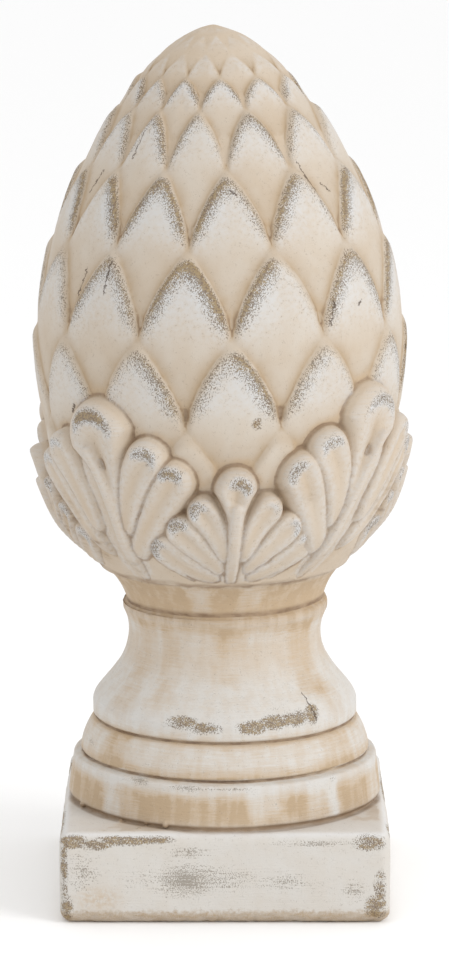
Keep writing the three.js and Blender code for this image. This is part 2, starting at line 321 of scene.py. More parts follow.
def row_height(level):
    """Height of a level on the cone, where whole levels are the rows' tips."""
    shares = np.array(ROW_SHARES)
    place = np.clip(level, LOWEST_ROW + 1, TOP_ROW) - LOWEST_ROW
    row = np.minimum(np.floor(place).astype(int), len(shares) - 2)
    t = place - row
    last = len(shares) - 1
    before, start, end, after = (shares[np.minimum(row + step, last)] for step in (-1, 0, 1, 2))
    share = (
        start * (1 + 2 * t) * (1 - t) ** 2
        + (end - before) / 2 * t * (1 - t) ** 2
        + end * t * t * (3 - 2 * t)
        + (after - start) / 2 * t * t * (t - 1)
    )
    return CONE_Z + CONE_HEIGHT * share


def drift(angle, z):
    """How far a tip has wandered round, more on the upper rows and at the back."""
    grown = smooth((z - CONE_Z) / CONE_HEIGHT, *DRIFT_SHARES)
    return ROW_DRIFT * DEGREE * grown * 0.5 * (1.0 - np.cos(angle - DRIFT_FROM * DEGREE))


def bow(along):
    """An arch from 0 at one end of an edge through 1 to 0 at the other."""
    return 4.0 * along * (1.0 - along)


# Levels of the cone and their heights, to find the one from the other
LEVELS = np.linspace(LOWEST_ROW + 1, TOP_ROW, 4001)
LEVEL_HEIGHTS = np.maximum.accumulate(row_height(LEVELS))


# Wear on the upper edges of the scales in front: row and turn of the tip, then left and right edge
SCALE_WEAR = {
    (1, -3): (0.2, 0.3), (1, -1): (0.25, 0.7), (1, 1): (0.45, 0.9), (1, 3): (0.5, 0.15), (1, 5): (0.3, 0.5),
    (2, -4): (0.5, 0.3), (2, -2): (0.75, 0.6), (2, 0): (0.95, 1.15), (2, 2): (0.95, 0.12),
    (2, 4): (0.8, 0.7), (2, 6): (0.9, 0.4),
    (3, -5): (0.3, 0.9), (3, -3): (0.1, 1.1), (3, -1): (0.95, 0.95), (3, 1): (1.05, 0.45),
    (3, 3): (0.9, 0.25), (3, 5): (1.1, 0.3),
    (4, -4): (0.5, 0.5), (4, -2): (0.4, 0.8), (4, 0): (0.6, 0.2), (4, 2): (0.5, 0.8), (4, 4): (0.4, 0.4),
    (5, -3): (0.6, 0.5), (5, -1): (0.8, 0.9), (5, 1): (0.7, 0.8), (5, 3): (0.5, 0.5),
}


def soft_least(first, second, rounding):
    """The lesser of two distances, rounded where they are alike."""
    apart = np.abs(first - second) / rounding
    return np.minimum(first, second) - rounding * np.log1p(np.exp(-apart))


class Scales:
    """Where points of the cone lie on its scales, and the height of the scales there."""

    def __init__(self, angle, z, form):
        straight = angle
        for _ in range(8):
            straight = angle - drift(straight, z)
        turn = (straight / DEGREE - FIRST_TIP_ANGLE) * SCALES_AROUND / 180.0
        level = np.interp(z, LEVEL_HEIGHTS, LEVELS)
        bowed = SCALE_BOW * progress(level, TOP_ROW, BOWED_UP_TO_ROW)
        plain_turn = turn
        for _ in range(24):
            p = (level + turn) / 2
            q = (level - turn) / 2
            turn = plain_turn - bowed * (bow(q - np.floor(q)) - bow(p - np.floor(p)))
        p = (level + turn) / 2
        q = (level - turn) / 2
        self.p = np.floor(p).astype(int)
        self.q = np.floor(q).astype(int)
        self.across = p - self.p
        self.along = q - self.q
        self.radius = cone_radius(z)
        self.spacing = np.maximum(np.interp(z, LEVEL_HEIGHTS, np.gradient(LEVEL_HEIGHTS, LEVELS)), 4.0)
        half = np.maximum(self.radius * math.pi / SCALES_AROUND, 0.5)
        self.width = 2 * self.spacing * half / np.hypot(self.spacing, half)
        self.share = np.clip(self.width / SCALE_WIDTH, 0.2, 1.0)
        self.right_edge = (1.0 - self.across) * self.width
        self.left_edge = (1.0 - self.along) * self.width
        self.up = (self.across + self.along) / 2
        self.above = 2 * self.up * self.spacing / self.share
        self.form = form
        rounding = TIP_ROUNDING * self.share
        self.edge = soft_least(self.right_edge, self.left_edge, rounding)
        self.low_edge = soft_least(self.across * self.width, self.along * self.width, rounding)
        self.inside = self.edge / self.share

    def height(self):
        """Millimetres over the lowest corner: steps between the scales, and saddles where four meet."""
        relief = self.form.scale_relief / MM
        roll = self.form.edge_roll / MM * self.share
        lopsided = self.across - self.along
        rise = self.up**SCALE_SWELL - SCALE_CROWN * lopsided**2
        rise = rise - EDGE_DROP * np.clip(1.0 - self.edge / roll, 0.0, 1.0) ** 2
        outside = smooth(-np.minimum(self.edge, self.low_edge), 0.15 * self.share, 0.9 * self.share)
        rise = rise + (SADDLE_RISE - rise) * outside
        risen = (self.above - DIMPLE_RISE) / DIMPLE_HEIGHT
        dimple = np.exp(-(risen**2) - (lopsided / DIMPLE_WIDTH) ** 2)
        return self.strength() * (relief * rise - DIMPLE_DEPTH * self.share * dimple)

    def strength(self):
        """Share of the full relief: more on the upper rows and little on the cap."""
        upper = 1.0 + UPPER_ROWS_GAIN * smooth(self.radius, 88.0, 60.0)
        cap = 1.0 - CAP_LOSS * smooth(self.radius, 46.0, 32.0)
        return upper * progress(self.radius, 0.0, CONE_RADIUS / 2) * cap

    def own_number(self, seed):
        """A number from 0 to 1 that is one scale's own."""
        table = np.random.default_rng(seed).uniform(0.0, 1.0, (2 * SCALES_AROUND, 16))
        around = (self.p - self.q) % (2 * SCALES_AROUND)
        row = np.clip(self.p + self.q + 4, 0, 15)
        return table[around, row]

    def wear(self):
        """Strength of the wear on the nearer upper edge: as seen in front, and random elsewhere."""
        left = LEAST_WEAR + WEAR_SPREAD * self.own_number(LEFT_WEAR_SEED)
        right = LEAST_WEAR + WEAR_SPREAD * self.own_number(RIGHT_WEAR_SEED)
        for (row, turn), (seen_left, seen_right) in SCALE_WEAR.items():
            here = (self.p + self.q + 2 == row) & ((self.p - self.q - turn) % (2 * SCALES_AROUND) == 0)
            left = np.where(here, seen_left, left)
            right = np.where(here, seen_right, right)
        to_right = smooth(self.left_edge - self.right_edge, -4.0, 4.0)
        return left + (right - left) * to_right

    def worn(self, z, strong):
        """Rubbed bands along the upper edges, widest at the tip and gone on the lowest rows and the cap."""
        fade = smooth(self.up, 0.48, 0.66) * (1.0 - smooth(z, 418.0, 432.0)) * smooth(z, 254.0, 268.0)
        reach = 9.2 + 3.6 * smooth(self.up, 0.80, 0.97)
        band = 1.15 * progress(self.inside, 0.3, 1.4) * (1.0 - progress(self.inside, 1.5, reach)) ** 1.5
        return band * fade * strong

    def brushed(self, z, strong):
        """White of the dry brush, thickest next to the rubbed bands."""
        brush = np.exp(-np.maximum(self.inside, 0.0) / 16.0)
        brush = brush * smooth(self.up, 0.38, 0.72) * (0.45 + 0.65 * strong)
        thinner = 1.0 - 0.6 * smooth(z, 420.0, 436.0)
        return brush * (progress(self.inside, 1.2, 4.0) * smooth(z, 254.0, 272.0) * thinner)

    def painted_shade(self, z):
        """Painted shade in tan under each step: lines along the lower edges, a spot over the corner, the
        lower half and the rim.
        """
        wash_and_shade = 0.8 * np.exp(-((np.maximum(self.low_edge, 0.0) / (4.5 * self.share)) ** 1.3))
        wash_and_shade += 0.35 * np.exp(-((self.above - 6.0) / 9.0) ** 2)
        wash_and_shade *= 1.0 - smooth(self.up, 0.35, 0.62)
        wash_and_shade += 0.36 * (1.0 - smooth(self.up, 0.20, 0.70))
        wash_and_shade += 0.42 * (1.0 - progress(self.inside, 0.6, 2.6)) * smooth(self.up, 0.35, 0.60)
        return wash_and_shade * (1.0 - smooth(z, 428.0, 438.0))


# Kinds of lobe: width of the foot, how fast it widens, depth of the channel and of the fine grooves
FINGER = {"foot": 7.5, "flare": 0.5, "channel": 1.0, "lined": 0.0}
SPOON = {"flare": 2.4, "channel": 1.35, "lined": 0.0}
STEM = {"flare": 1.0, "channel": 0.0, "lined": 0.0}
BLADE = {"flare": 0.7, "channel": 0.0, "lined": 0.6}

# Lobes of a leaf. Places on a line are degrees from the leaf's middle and shares of its height.
SMALL_LEAF = {
    "middle": [
        {**BLADE, "line": [(0, -0.02), (0, 0.1), (0, 0.25)], "foot": 20, "width": 26, "lift": 6.5},
        {**SPOON, "line": [(0, 0.2), (0, 0.4), (0, 0.545)], "foot": 4.5, "width": 13, "lift": 12},
        {**STEM, "line": [(-1, -0.02), (-0.5, 0.25), (0.3, 0.45)], "foot": 6.6, "width": 5.6,
         "lift": 12.4, "ribbed": True},
    ],
    "sides": [
        {**FINGER, "line": [(3.4, 0.2), (6, 0.34), (10.5, 0.43)], "width": 10.8, "lift": 10},
        {**FINGER, "line": [(6, 0.12), (11, 0.2), (18.3, 0.32)], "width": 11.8, "lift": 9.4,
         "lined": 0.35},
        {**FINGER, "line": [(8, 0.05), (17, 0.08), (25.6, 0.21)], "width": 12.6, "lift": 9,
         "lined": 1.0},
    ],
}
LARGE_LEAF = {
    "middle": [
        {**BLADE, "line": [(1, 0), (4, 0.3), (1, 0.56)], "foot": 18, "width": 27, "lift": 6.5},
        {**SPOON, "line": [(4, 0.3), (5, 0.55), (0, 0.79)], "foot": 7, "width": 22, "lift": 10},
        {**STEM, "line": [(2, -0.02), (8, 0.4), (-2, 0.74)], "foot": 6.5, "width": 4.2, "lift": 12},
    ],
    "sides": [
        {**FINGER, "line": [(7, 0.34), (10, 0.55), (16.5, 0.69)], "width": 13.6, "lift": 9.6},
        {**FINGER, "line": [(8, 0.2), (17, 0.4), (24.5, 0.59)], "width": 13.2, "lift": 9.2},
    ],
}

# Wear on the lobes in front, by their place in the order of all lobes
LOBE_WEAR = {1: 1.0, 3: 0.15, 4: 0.75, 5: 0.3, 6: 0.95, 7: 0.3, 8: 0.7,
             10: 1.6, 12: 0.85, 13: 0.3, 14: 1.0, 15: 0.3, 26: 0.7, 28: 0.55, 29: 0.2, 30: 0.8}


def leaf_rise(z):
    """How far the leaves have risen from the collar, from 0 at their foot to 1."""
    return np.sin(math.pi / 2 * progress(z, LEAF_Z, LEAF_Z + LEAF_FOOT_RISE))


def seam_of(lobe, number):
    """The lobe that a part joins without a line: a stem joins its bulb and a blade joins the cup."""
    if lobe["channel"] > 0.0:
        return number
    return -1 if lobe["lined"] > 0.0 else number - 1


def placed_lobes():
    """Every lobe of every leaf, with the leaf it belongs to and its side."""
    for pair in range(LEAF_PAIRS):
        turn = 360.0 / LEAF_PAIRS * pair
        small = {"angle": SMALL_LEAF_ANGLE + turn, "hand": 1, "slant": 1.0, "stretch": 1.0}
        large = {"angle": LARGE_LEAF_ANGLE + turn, "hand": 1, "slant": 0.0, "stretch": 1.0}
        if pair % 2 == 1:
            large = {"angle": LARGE_LEAF_ANGLE + turn + 2.0, "hand": -1, "slant": 14.0, "stretch": 1.04}
        for form, leaf in ((SMALL_LEAF, small), (LARGE_LEAF, large)):
            for lobe in form["middle"]:
                yield leaf, lobe, 1
            for lobe in form["sides"]:
                yield leaf, lobe, 1
                yield leaf, lobe, -1


class Leaves:
    """Height of the leaves over the cone, and where each point lies on its lobe."""

    SAMPLES = 40

    def __init__(self, angle, z, form):
        self.angle = angle
        self.z = z
        self.channel = form.lobe_channel
        cup = np.maximum(LEAF_LEDGE, CUP_LIFT * leaf_rise(z))
        slope = progress(z, CUP_SHOULDER_Z, CUP_TOP_Z)
        self.height = np.where(z < LEAF_Z - 0.5, -LEAF_SINK, cup + slope * (-LEAF_SINK - cup))
        self.offset = np.full(z.shape, 9.0)
        self.worn = np.zeros(z.shape)
        self.owner = np.full(z.shape, -1.0)
        quarter = (angle / DEGREE - SMALL_LEAF_ANGLE + 45.0) % 90.0 - 45.0
        fan = np.arctan2(z - LEAF_Z + 4.0, np.abs(quarter) * DEGREE * CONE_RADIUS + 4.0)
        fluted = CUP_FLUTE_DEPTH * np.sin(fan * CUP_FLUTES + np.sin(fan * 9.0) * 2.0)
        self.height += fluted * leaf_rise(z) * (1.0 - slope)
        for number, (leaf, lobe, side) in enumerate(placed_lobes()):
            self.add(leaf, lobe, side, number)

    def nearest(self, line, x, y):
        """Distance to a line, share of it passed, distance to its right, and how far past its end."""
        best = np.full(x.shape, 1e9)
        share = np.zeros(x.shape)
        signed = np.zeros(x.shape)
        ahead = np.zeros(x.shape)
        for k in range(self.SAMPLES - 1):
            start, step = line[k], line[k + 1] - line[k]
            length = float(np.hypot(*step))
            run = ((x - start[0]) * step[0] + (y - start[1]) * step[1]) / length**2
            held = np.clip(run, 0.0, 1.0)
            dx = x - start[0] - held * step[0]
            dy = y - start[1] - held * step[1]
            distance = np.hypot(dx, dy)
            closer = distance < best
            best = np.where(closer, distance, best)
            share = np.where(closer, (k + held) / (self.SAMPLES - 1), share)
            signed = np.where(closer, (step[1] * dx - step[0] * dy) / length, signed)
            past = (run - 1.0) * length if k == self.SAMPLES - 2 else -9.0
            ahead = np.where(closer, past, ahead)
        return best, share, signed, ahead

    def add(self, leaf, lobe, side, number):
        """Lays one lobe over what is there, where it stands higher."""
        tall = LEAF_HEIGHT * leaf["stretch"]
        mirror = side * leaf["hand"]
        y = self.z - LEAF_Z
        sway = leaf["slant"] * (1.0 - y / tall) ** 2
        local = self.angle / DEGREE - leaf["angle"] + sway
        local = (local + 180.0) % 360.0 - 180.0
        x = local * DEGREE * CONE_RADIUS * mirror
        bends = np.array([(turn * DEGREE * CONE_RADIUS, share * tall) for turn, share in lobe["line"]])
        t = np.linspace(0.0, 1.0, self.SAMPLES)[:, None]
        line = (1 - t) ** 2 * bends[0] + 2 * t * (1 - t) * bends[1] + t * t * bends[2]
        margin = max(lobe["width"], lobe["foot"]) + 1.0
        low = line.min(0) - margin
        high = line.max(0) + margin
        near = (x > low[0]) & (x < high[0]) & (y > low[1]) & (y < high[1])
        if not near.any():
            return
        px, py = x[near], y[near]
        risen = leaf_rise(self.z[near])
        best, share, signed, ahead = self.nearest(line, px, py)
        width = lobe["foot"] + (lobe["width"] - lobe["foot"]) * share ** lobe["flare"]
        across = best / width
        inside = np.clip(across, 0.0, 1.0)
        channelled = lobe["channel"] > 0.0

        scoop = self.channel * lobe["channel"] * smooth(share, 0.0, 0.8)
        ridge = np.sqrt(1.0 - inside**3) - scoop * (1.0 - inside) ** 2
        if channelled:
            ridge = ridge + 0.05 * np.exp(-(((inside - 0.62) / 0.2) ** 2)) * smooth(share, 0.55, 1.0)
        height = (LIFT_SHARE * lobe["lift"] * risen + LEAF_SINK) * ridge - LEAF_SINK
        grooves = np.sin(signed * (2 * math.pi / GROOVE_SPACING) + 1.5 * np.sin(share * 5.0 + number))
        lined = lobe["lined"] * smooth(risen, 0.0, 0.4) * (1.0 - smooth(share, 0.6, 0.95))
        height += GROOVE_DEPTH * lined * grooves
        if lobe.get("ribbed"):
            ribs = np.sin(py * 2 * math.pi / RIB_SPACING)
            height += RIB_DEPTH * ribs * (1.0 - smooth(share, 0.45, 0.7))
        height = np.where(across < 1.0, height, -LEAF_SINK)
        owns = height > self.height[near]

        rng = np.random.default_rng(FIRST_LOBE_SEED + number)
        strength = LOBE_WEAR.get(number, rng.uniform(0.25, 1.0)) if channelled else 0.0
        tipward = smooth(ahead / width, -0.15, 0.2)
        leaning = rng.uniform(-0.3, 0.3)
        ring = 0.60 if lobe["width"] > 15 else 0.45
        crescent = np.exp(-(((inside - ring) / (2.6 / lobe["width"])) ** 2)) * tipward
        crescent *= np.exp(-(((signed / width - leaning) / 0.45) ** 4))
        for field, value in (
            ("height", height),
            ("offset", across),
            ("worn", strength * crescent),
            ("owner", np.full(px.shape, float(seam_of(lobe, number)))),
        ):
            kept = getattr(self, field)
            changed = kept[near]
            changed[owns] = value[owns]
            kept[near] = changed


def plinth_corner(angle, half, rounding):
    """Distance from the axis to a square with rounded corners, at angles from the front."""
    turned = (angle + math.pi / 4) % (math.pi / 2) - math.pi / 4
    c = np.cos(turned)
    s = np.abs(np.sin(turned))
    flat = half / c
    inner = half - rounding
    straight = flat * s <= inner
    along = inner * (c + s)
    reach = along + np.sqrt(np.maximum(along**2 - 2 * inner**2 + rounding**2, 0.0))
    return np.where(straight, flat, reach)


def plinth_top(angle, radius):
    """Height of the plinth's rounded top at a place on it."""
    flat = PLINTH_WIDTH / 2 - PLINTH_ROUNDING
    out = np.hypot(
        np.maximum(np.abs(radius * np.sin(angle)) - flat, 0.0),
        np.maximum(np.abs(radius * np.cos(angle)) - flat, 0.0),
    )
    drop = PLINTH_ROUNDING - np.sqrt(np.maximum(PLINTH_ROUNDING**2 - out**2, 0.0))
    return PLINTH_HEIGHT - drop


def curve(points, steps=16):
    """Points of a Bezier curve through its first and last control points."""
    control = np.array(points, float)
    t = np.linspace(0.0, 1.0, steps)[1:, None]
    rest = 1.0 - t
    if len(control) == 3:
        made = rest**2 * control[0] + 2 * rest * t * control[1] + t**2 * control[2]
    else:
        made = (
            rest**3 * control[0]
            + 3 * rest**2 * t * control[1]
            + 3 * rest * t**2 * control[2]
            + t**3 * control[3]
        )
    return [tuple(p) for p in made]


def evened(outline, spacing, softness):
    """An outline resampled at an even spacing, its corners softened."""
    outline = np.array(outline, float)
    length = np.concatenate([[0.0], np.cumsum(np.hypot(*np.diff(outline, axis=0).T))])
    fine = np.arange(0.0, length[-1], 0.1)
    dense = np.stack([np.interp(fine, length, outline[:, i]) for i in (0, 1)], 1)
    soft = blurred(dense, softness / 0.1, 0)
    keep = np.linspace(0, len(fine) - 1, max(2, int(round(length[-1] / spacing)) + 1))
    return np.stack([np.interp(keep, np.arange(len(fine)), soft[:, i]) for i in (0, 1)], 1)


def foot_outline():
    """Radius and height of the turned foot, from the plinth to the leaves' ledge."""
    line = [(DRUM_SEAT_RADIUS, PLINTH_HEIGHT - 0.6), (DRUM_SEAT_RADIUS, PLINTH_HEIGHT + 0.8)]
    line += [(DRUM_FOOT_RADIUS, PLINTH_HEIGHT + 2.2)]
    line += [(DRUM_TOP_RADIUS, DRUM_TOP_Z - 4.0)]
    line += curve([line[-1], (DRUM_TOP_RADIUS, DRUM_TOP_Z), (DRUM_TOP_RADIUS - 2.0, DRUM_TOP_Z)])
    line += [(73.6, OVOLO_Z - 1.2), (75.8, OVOLO_Z)]
    line += curve([line[-1], (74.8, OVOLO_Z + 8.0), (69.5, OVOLO_Z + 16.0)])
    line += [(67.0, LIP_Z - 1.1), (69.2, LIP_Z)]
    line += [(69.2, WAIST_FROM_Z)]
    line += curve([line[-1], (67.2, 108.15), (50.4, 117.2), (50.4, WAIST_Z)])
    line += curve([line[-1], (50.4, 141.65), (53.7, NECK_LIP_Z)])
    line += [(53.7, NECK_Z), (51.6, NECK_Z + 1.0), (52.0, COLLAR_Z)]
    line += curve([line[-1], (54.2, 162.3), (61.0, CONE_Z)])
    line += [(60.6, LEAF_Z - 0.6), (63.4, LEAF_Z - 0.2)]
    return line


# Bands of the paint on the foot: angle from the front, half width, lowest and highest place, and how much
# tan they add, less than 0 where they are lighter than what is round them
BAND_SOFTNESS = 2.5
BANDS = [
    # Collar
    (-75, 9, 155, 170, -0.10), (-50, 9, 155, 170, 0.35), (-13, 7, 155, 170, -0.40),
    (0, 5, 155, 170, 0.35), (14, 7, 155, 170, -0.35), (48, 9, 155, 170, 0.35),
    (90, 10, 155, 170, 0.20), (120, 9, 155, 170, -0.30), (150, 9, 155, 170, 0.30),
    (180, 8, 155, 170, -0.30), (-150, 9, 155, 170, 0.25), (-115, 9, 155, 170, -0.30),
    # Neck
    (-54, 8, 97, 146, 0.36), (-33, 7, 106, 129, 0.34), (-33, 7, 129, 145, 0.24), (4, 9, 132, 146, 0.50),
    (0, 9, 118, 130, 0.30), (50, 10, 110, 146, 0.52), (57, 8, 97, 114, 0.35), (112, 9, 100, 143, 0.60),
    (150, 8, 110, 138, 0.50), (-172, 9, 120, 146, 0.60), (-104, 8, 104, 143, 0.60), (-138, 9, 98, 140, 0.65),
    # Ovolo
    (-51, 8, 73, 90, 0.50), (53, 10, 73, 90, 0.30), (120, 10, 73, 90, 0.60), (-115, 10, 73, 90, 0.60),
    (180, 12, 73, 90, 0.50),
    # Drum
    (-70, 8, 48, 68, 0.20), (-56, 6, 48, 66, 0.25), (-47, 5, 50, 71, -0.50), (-20, 14, 50, 64, 0.20),
    (4, 6, 52, 61, 0.25), (14, 7, 55, 71, -0.45), (26, 4, 55, 67, 0.30), (38, 6, 56, 70, -0.25),
    (43, 2.5, 48, 71, -0.60), (57, 9, 48, 70, 0.25), (75, 6, 50, 70, -0.30), (100, 8, 48, 70, -0.40),
    (130, 12, 48, 70, 0.20), (165, 9, 50, 71, -0.45), (-160, 8, 48, 70, 0.25), (-120, 9, 50, 71, -0.40),
    (-95, 7, 48, 70, 0.25),
]


def stained(points, angle, z):
    """How much tan shows on the foot, from 0 to 1."""
    angle = angle / DEGREE + 1.6 * Grain(seed=8).at(points, (12.0, 12.0, 9.0))
    z = z + 1.8 * Grain(seed=9).at(points, (9.0, 9.0, 9.0))
    total = 0.06 + 0.90 * smooth(z, 136.0, 151.0) + 0.5 * (1.0 - smooth(z, 90.5, 95.0))
    below = 0.26 + 0.55 * (1.0 - smooth(z, 74.0, 80.0)) + 0.35 * smooth(z, 86.0, 90.0)
    total = np.where(z < 90.5, below, total)
    total = np.where(z < 72.5, 0.80 - 0.58 * smooth(z, 63.0, 68.0), total)
    for middle, half, low, high, share in BANDS:
        away = np.abs((angle - middle + 180.0) % 360.0 - 180.0)
        inside = share * (1.0 - smooth(away, 0.6 * half, 1.2 * half))
        inside = inside * smooth(z, low - BAND_SOFTNESS, low + BAND_SOFTNESS)
        total = total + inside * (1.0 - smooth(z, high - BAND_SOFTNESS, high + BAND_SOFTNESS))
    return np.clip(total, 0.0, 1.0)


class Casting:
    """The whole casting as rings of points from the middle of its underside to its top."""

    def __init__(self, form):
        self.form = form
        fine = 1.0
        self.columns = int(form.columns * fine)
        self.pitch = RING_PITCH / fine
        self.angle = np.arange(self.columns) * (2 * math.pi / self.columns) - math.pi
        parts = [self.plinth(), self.foot(), self.cone()]
        self.radius = np.concatenate([part[0] for part in parts])
        self.height = np.concatenate([part[1] for part in parts])
        self.turned_from = len(parts[0][0])
        self.cone_from = self.turned_from + len(parts[1][0])
        self.make_masks()
        self.points = self.place()

    def plinth(self):
        """Rings of the underside, the sides and the rounded top out to the drum."""
        half = PLINTH_WIDTH / 2
        flat = half - PLINTH_ROUNDING
        side = plinth_corner(self.angle, half, PLINTH_ROUNDING)
        radii, heights = [], []

        def add(radius, height):
            radii.append(np.broadcast_to(radius, side.shape))
            heights.append(np.broadcast_to(height, side.shape))

        for share in (0.25, 0.5, 0.75):
            add(plinth_corner(self.angle, flat, 1e-6) * share, 0.0)
        for turn in np.linspace(0.0, math.pi / 2, 9):
            rounding = PLINTH_ROUNDING * math.sin(turn)
            radius = plinth_corner(self.angle, flat + rounding, max(rounding, 1e-6))
            add(radius, PLINTH_ROUNDING * (1.0 - math.cos(turn)))
        for z in np.linspace(PLINTH_ROUNDING, PLINTH_HEIGHT - PLINTH_ROUNDING, 32)[1:]:
            add(side, z)
        start = DRUM_SEAT_RADIUS
        for share in np.linspace(1.0, 0.0, 30)[1:-1]:
            radius = start + (side - start) * math.sin(math.pi / 2 * share)
            add(radius, plinth_top(self.angle, radius))
        return np.array(radii), np.array(heights)

    def foot(self):
        """Rings of the turned foot, the first of them let down onto the plinth."""
        outline = evened(foot_outline(), 0.95 * self.pitch / RING_PITCH, 0.45)
        radii = np.repeat(outline[:, :1], self.columns, 1)
        heights = np.repeat(outline[:, 1:], self.columns, 1)
        lowered = plinth_top(self.angle, DRUM_SEAT_RADIUS) - PLINTH_HEIGHT
        near = 1.0 - progress(heights, PLINTH_HEIGHT - 0.6, PLINTH_HEIGHT + 1.6)
        heights = heights + (lowered + 0.6) * near
        return radii, heights

    def cone(self):
        """Rings of the cone with its scales and leaves, and the lines where they meet."""
        z = np.linspace(LEAF_Z + 0.3, CONE_TOP_Z, 6000)
        outline = evened(np.stack([cone_radius(z), z], 1), self.pitch, 0.01)[:-1]
        z = np.repeat(outline[:, 1:], self.columns, 1)
        angle = np.repeat(self.angle[None, :], len(outline), 0)
        fine = RING_PITCH / self.pitch
        self.cone_heights = z
        self.scales = Scales(angle, z, self.form)
        self.leaves = Leaves(angle, z, self.form)
        relief = self.form.scale_relief / MM
        scaled = self.scales.height() - relief * self.scales.strength()
        scaled = blurred(scaled, SCALE_BLUR * fine, SCALE_BLUR * fine)
        self.on_leaf = self.leaves.height > scaled
        both = np.maximum(scaled, self.leaves.height)
        fillet = blurred(both, FILLET_BLUR * fine, FILLET_BLUR * fine)
        soft = blurred(both, SURFACE_BLUR * fine, SURFACE_BLUR * fine)
        owner = np.where(self.on_leaf, self.leaves.owner, -2.0)
        edges = (owner != np.roll(owner, 1, 1)) | (owner != np.roll(owner, 1, 0))
        edges[0] = edges[1]
        seam = SEAM_STRENGTH * blurred(edges.astype(float), SEAM_BLUR * fine, SEAM_BLUR * fine)
        self.seam = np.clip(seam, 0.0, 1.0) * (1.0 - smooth(z, 262.0, 285.0))
        relief = np.where(fillet > soft, 0.65 * soft + 0.35 * fillet, soft) - SEAM_DEPTH * self.seam
        return np.maximum(cone_radius(z) + relief, 0.4 * cone_radius(z)), z

    def make_masks(self):
        """Hollows and creases of the form, where the finish is rubbed, brushed and stained, and where shade
        is painted under the scales' steps and in the crevices between lobes.
        """
        turned = self.radius[self.turned_from :]
        wide = HOLLOW_REACH / self.pitch
        thin = CREASE_REACH / self.pitch
        strong = self.scales.wear()
        wear = np.where(self.on_leaf, self.leaves.worn, self.scales.worn(self.cone_heights, strong))
        lobed = 0.35 * np.exp(-(((self.leaves.offset - 0.45) / 0.25) ** 2)) + 0.5 * smooth(wear, 0.02, 0.3)
        lobed = np.clip(lobed, 0.0, 1.0)
        height = self.height[self.turned_from :]
        around = np.broadcast_to(self.angle[None, :], height.shape)
        spots = np.stack([turned * np.sin(around), -turned * np.cos(around), height], -1)
        self.masks = {
            "stain": stained(spots, around, height),
            "hollow": blurred(turned, wide, wide) - turned,
            "crease": blurred(turned, thin, thin) - turned,
        }
        none = np.zeros((self.cone_from - self.turned_from, self.columns))
        for name, field in (
            ("wear", wear),
            ("brush", np.where(self.on_leaf, lobed, self.scales.brushed(self.cone_heights, strong))),
            ("painted_step_shade", np.where(self.on_leaf, 0.0, self.scales.painted_shade(self.cone_heights))),
            ("leaf", self.on_leaf.astype(float)),
            ("seam", self.seam),
        ):
            self.masks[name] = np.concatenate([none, field])

    def place(self):
        """The points of all rings, leaned and made uneven."""
        angle = self.angle[None, :]
        points = np.stack(
            [self.radius * np.sin(angle), -self.radius * np.cos(angle), self.height], -1)
        points = leaned(points)
        around = np.roll(points, -1, 1) - np.roll(points, 1, 1)
        upward = np.gradient(points, axis=0)
        normal = np.cross(around, upward)
        normal /= np.maximum(np.linalg.norm(normal, axis=-1, keepdims=True), 1e-9)
        wobble = self.form.wobble / MM
        level = points[..., 2]
        push = np.zeros(level.shape)
        for seed, share, size in WAVES:
            push += share * wobble * Grain(seed).at(points, size)
        push += 0.55 * Grain(seed=10).at(points, 8.0) * smooth(level, 405.0, 430.0)
        ragged = 0.5 * Grain(seed=11).at(points, (3.0, 3.0, 2.0)) + 0.3 * Grain(seed=12).at(points, 1.3)
        push += ragged * (1.0 - smooth(level, 3.0, 7.0))
        push = np.minimum(push - SET_BACK, 0.0)
        push += self.droplets(points)
        push -= self.pits(points)
        push = np.where(level < 0.4, 0.0, push)
        return points + normal * push[..., None]

    @staticmethod
    def droplets(points):
        """Drops of paint along the foot of the drum."""
        total = np.zeros(points.shape[:-1])
        for x, y, z, radius in (
            (-73.9, -35.1, 49.4, 1.9),
            (-53.2, -62.0, 48.2, 1.6),
            (-40.3, -70.8, 48.9, 1.2),
            (-30.2, -75.5, 50.0, 1.7),
            (-43.7, -76.4, 48.0, 1.1),
            (-60.8, -54.6, 48.4, 0.9),
            (31.0, 75.2, 49.0, 1.5),
            (58.0, 57.0, 48.5, 1.2),
        ):
            square = ((points - (x, y, z)) ** 2).sum(-1)
            total = np.maximum(total, np.sqrt(np.maximum(radius**2 - square, 0.0)))
        return total

    @staticmethod
    def pits(points):
        """Small air holes of the casting."""
        rng = np.random.default_rng(PIT_SEED)
        total = np.zeros(points.shape[:-1])
        holes = [(-31.0, 442.0, 1.5), (-22.0, 435.0, 1.4), (-25.0, 421.5, 1.2), (87.0, 283.0, 1.6)]
        for _ in range(PIT_COUNT):
            holes.append((rng.uniform(-180.0, 180.0), rng.uniform(175.0, 425.0), rng.uniform(0.8, 1.4)))
        for turn, row, size in holes:
            turn = turn * DEGREE
            reach = float(cone_radius(np.array(row)))
            centre = np.array([reach * math.sin(turn), -reach * math.cos(turn), row])
            square = ((points - centre) ** 2).sum(-1) / (size * 1.6) ** 2
            total = np.maximum(total, 0.7 * size * np.exp(-square * 1.5))
        return total

